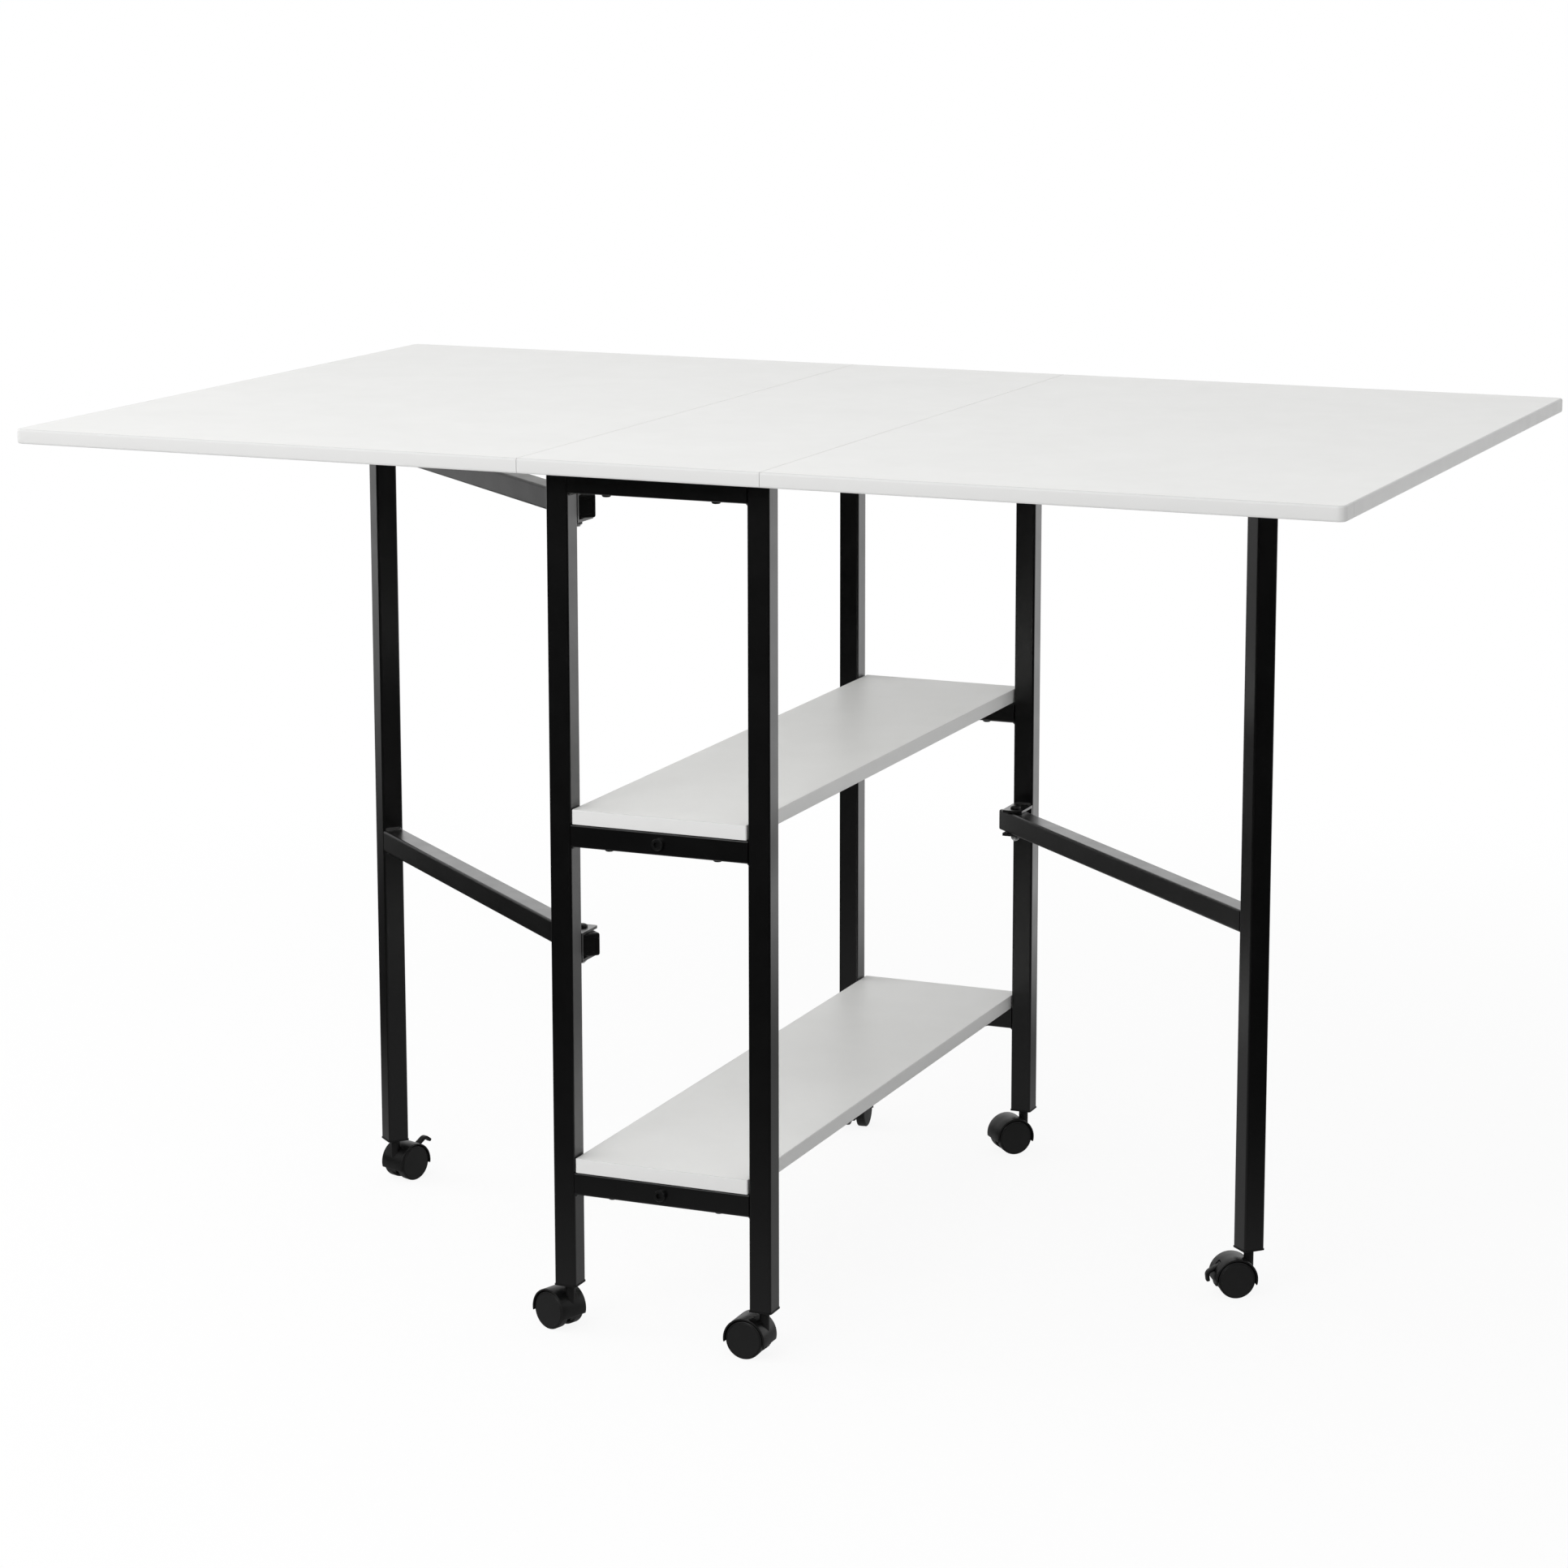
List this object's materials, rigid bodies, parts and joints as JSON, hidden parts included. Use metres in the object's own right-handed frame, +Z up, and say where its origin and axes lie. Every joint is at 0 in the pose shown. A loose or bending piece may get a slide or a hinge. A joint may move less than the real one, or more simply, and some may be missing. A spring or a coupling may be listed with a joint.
{
  "type": "sewing table",
  "caption": "Drop-leaf sewing table with a white worktop, a narrow two-shelf unit of black square tube, swing-out gate legs under the leaves and swivel casters.",
  "frame": {"origin": "on the floor under the middle of the worktop", "axes": "+X along the table's length towards the right leaf, +Y away from the user, +Z up"},
  "size_m": [1.492, 0.927, 0.958],
  "materials": {
    "white_board": "white melamine-faced particle board, satin",
    "black_tube": "black satin powder coat on steel tube",
    "black_steel": "black oxide steel fasteners",
    "zinc_steel": "bright zinc plated steel",
    "black_plastic": "moulded black nylon, fine satin",
    "caster_tread": "moulded black nylon wheels"
  },
  "bodies": {
    "shelf_unit": {"back_left_leg": "black_tube", "back_lower_shelf_rail": "black_tube", "back_right_leg": "black_tube", "back_top_rail": "black_tube", "back_upper_shelf_rail": "black_tube", "centre_hinge_halves": "zinc_steel", "centre_panel": "white_board", "front_left_leg": "black_tube", "front_lower_shelf_rail": "black_tube", "front_right_leg": "black_tube", "front_top_rail": "black_tube", "front_upper_shelf_rail": "black_tube", "gate_brackets": "black_tube", "gate_pivot_bolts": "black_steel", "gate_pivot_nuts": "zinc_steel", "hinge_pins": "zinc_steel", "lower_shelf": "white_board", "lower_stretcher": "black_tube", "stretcher_bolts": "black_steel", "stretcher_nut_plates": "black_tube", "unit_caster_sockets": "black_plastic", "unit_caster_stems": "zinc_steel", "upper_shelf": "white_board", "upper_stretcher": "black_tube"},
    "left_leaf": {"left_leaf": "white_board", "left_leaf_hinge_halves": "zinc_steel"},
    "left_gate": {"left_gate_leg": "black_tube", "left_gate_leg_cap": "black_plastic", "left_gate_top_rail": "black_tube", "left_gate_middle_rail": "black_tube", "left_gate_rail_caps": "black_plastic", "left_gate_caster_socket": "black_plastic", "left_gate_caster_stem": "zinc_steel"},
    "right_leaf": {"right_leaf": "white_board", "right_leaf_hinge_halves": "zinc_steel"},
    "right_gate": {"right_gate_leg": "black_tube", "right_gate_leg_cap": "black_plastic", "right_gate_top_rail": "black_tube", "right_gate_middle_rail": "black_tube", "right_gate_rail_caps": "black_plastic", "right_gate_caster_socket": "black_plastic", "right_gate_caster_stem": "zinc_steel"},
    "front_left_caster": {"front_left_caster_hood": "black_plastic"},
    "front_left_wheels": {"front_left_caster_wheels": "caster_tread"},
    "front_right_caster": {"front_right_caster_hood": "black_plastic"},
    "front_right_wheels": {"front_right_caster_wheels": "caster_tread"},
    "back_left_caster": {"back_left_caster_hood": "black_plastic"},
    "back_left_wheels": {"back_left_caster_wheels": "caster_tread"},
    "back_right_caster": {"back_right_caster_hood": "black_plastic"},
    "back_right_wheels": {"back_right_caster_wheels": "caster_tread"},
    "left_gate_caster": {"left_gate_caster_hood": "black_plastic"},
    "left_gate_wheels": {"left_gate_caster_wheels": "caster_tread"},
    "right_gate_caster": {"right_gate_caster_hood": "black_plastic"},
    "right_gate_wheels": {"right_gate_caster_wheels": "caster_tread"},
    "left_gate_brake": {"left_gate_brake_lever": "black_plastic"},
    "right_gate_brake": {"right_gate_brake_lever": "black_plastic"}
  },
  "joints": [
    {"name": "left_leaf_lift", "type": "hinge", "parent": "shelf_unit", "child": "left_leaf", "pos_m": [-0.13675, 0, 0.93925], "axis": [0, 1, 0], "range_deg": [0, 1]},
    {"name": "right_leaf_lift", "type": "hinge", "parent": "shelf_unit", "child": "right_leaf", "pos_m": [0.13675, 0, 0.93925], "axis": [0, -1, 0], "range_deg": [0, 1]},
    {"name": "left_gate_swing", "type": "hinge", "parent": "shelf_unit", "child": "left_gate", "pos_m": [-0.1145, -0.3652, 0.898], "axis": [0, 0, 1], "range_deg": [-50, 70]},
    {"name": "right_gate_swing", "type": "hinge", "parent": "shelf_unit", "child": "right_gate", "pos_m": [0.1145, 0.3652, 0.898], "axis": [0, 0, 1], "range_deg": [-48, 72]},
    {"name": "front_left_caster_swivel", "type": "hinge", "parent": "shelf_unit", "child": "front_left_caster", "pos_m": [-0.1145, -0.4035, 0.052], "axis": [0, 0, 1], "continuous": true},
    {"name": "front_left_wheels_roll", "type": "hinge", "parent": "front_left_caster", "child": "front_left_wheels", "pos_m": [-0.13057, -0.39797, 0.021], "axis": [-0.3256, -0.9455, 0], "continuous": true},
    {"name": "front_right_caster_swivel", "type": "hinge", "parent": "shelf_unit", "child": "front_right_caster", "pos_m": [0.1145, -0.4035, 0.052], "axis": [0, 0, 1], "continuous": true},
    {"name": "front_right_wheels_roll", "type": "hinge", "parent": "front_right_caster", "child": "front_right_wheels", "pos_m": [0.0975, -0.4035, 0.021], "axis": [0, -1, 0], "continuous": true},
    {"name": "back_left_caster_swivel", "type": "hinge", "parent": "shelf_unit", "child": "back_left_caster", "pos_m": [-0.1145, 0.4035, 0.052], "axis": [0, 0, 1], "continuous": true},
    {"name": "back_left_wheels_roll", "type": "hinge", "parent": "back_left_caster", "child": "back_left_wheels", "pos_m": [-0.11657, 0.42037, 0.021], "axis": [-0.9925, -0.1219, 0], "continuous": true},
    {"name": "back_right_caster_swivel", "type": "hinge", "parent": "shelf_unit", "child": "back_right_caster", "pos_m": [0.1145, 0.4035, 0.052], "axis": [0, 0, 1], "continuous": true},
    {"name": "back_right_wheels_roll", "type": "hinge", "parent": "back_right_caster", "child": "back_right_wheels", "pos_m": [0.10207, 0.39191, 0.021], "axis": [0.682, -0.7314, 0], "continuous": true},
    {"name": "left_gate_caster_swivel", "type": "hinge", "parent": "left_gate", "child": "left_gate_caster", "pos_m": [-0.54165, -0.00678, 0.052], "axis": [0, 0, 1], "continuous": true},
    {"name": "left_gate_wheels_roll", "type": "hinge", "parent": "left_gate_caster", "child": "left_gate_wheels", "pos_m": [-0.53583, 0.0092, 0.021], "axis": [-0.9397, 0.342, 0], "continuous": true},
    {"name": "left_gate_brake_press", "type": "hinge", "parent": "left_gate_caster", "child": "left_gate_brake", "pos_m": [-0.53079, 0.02305, 0.03524], "axis": [-0.9397, 0.342, 0], "range_deg": [0, 60]},
    {"name": "right_gate_caster_swivel", "type": "hinge", "parent": "right_gate", "child": "right_gate_caster", "pos_m": [0.52888, -0.00791, 0.052], "axis": [0, 0, 1], "continuous": true},
    {"name": "right_gate_wheels_roll", "type": "hinge", "parent": "right_gate_caster", "child": "right_gate_wheels", "pos_m": [0.51446, -0.01692, 0.021], "axis": [0.5299, -0.848, 0], "continuous": true},
    {"name": "right_gate_brake_press", "type": "hinge", "parent": "right_gate_caster", "child": "right_gate_brake", "pos_m": [0.50196, -0.02473, 0.03524], "axis": [0.5299, -0.848, 0], "range_deg": [-60, 0]}
  ]
}
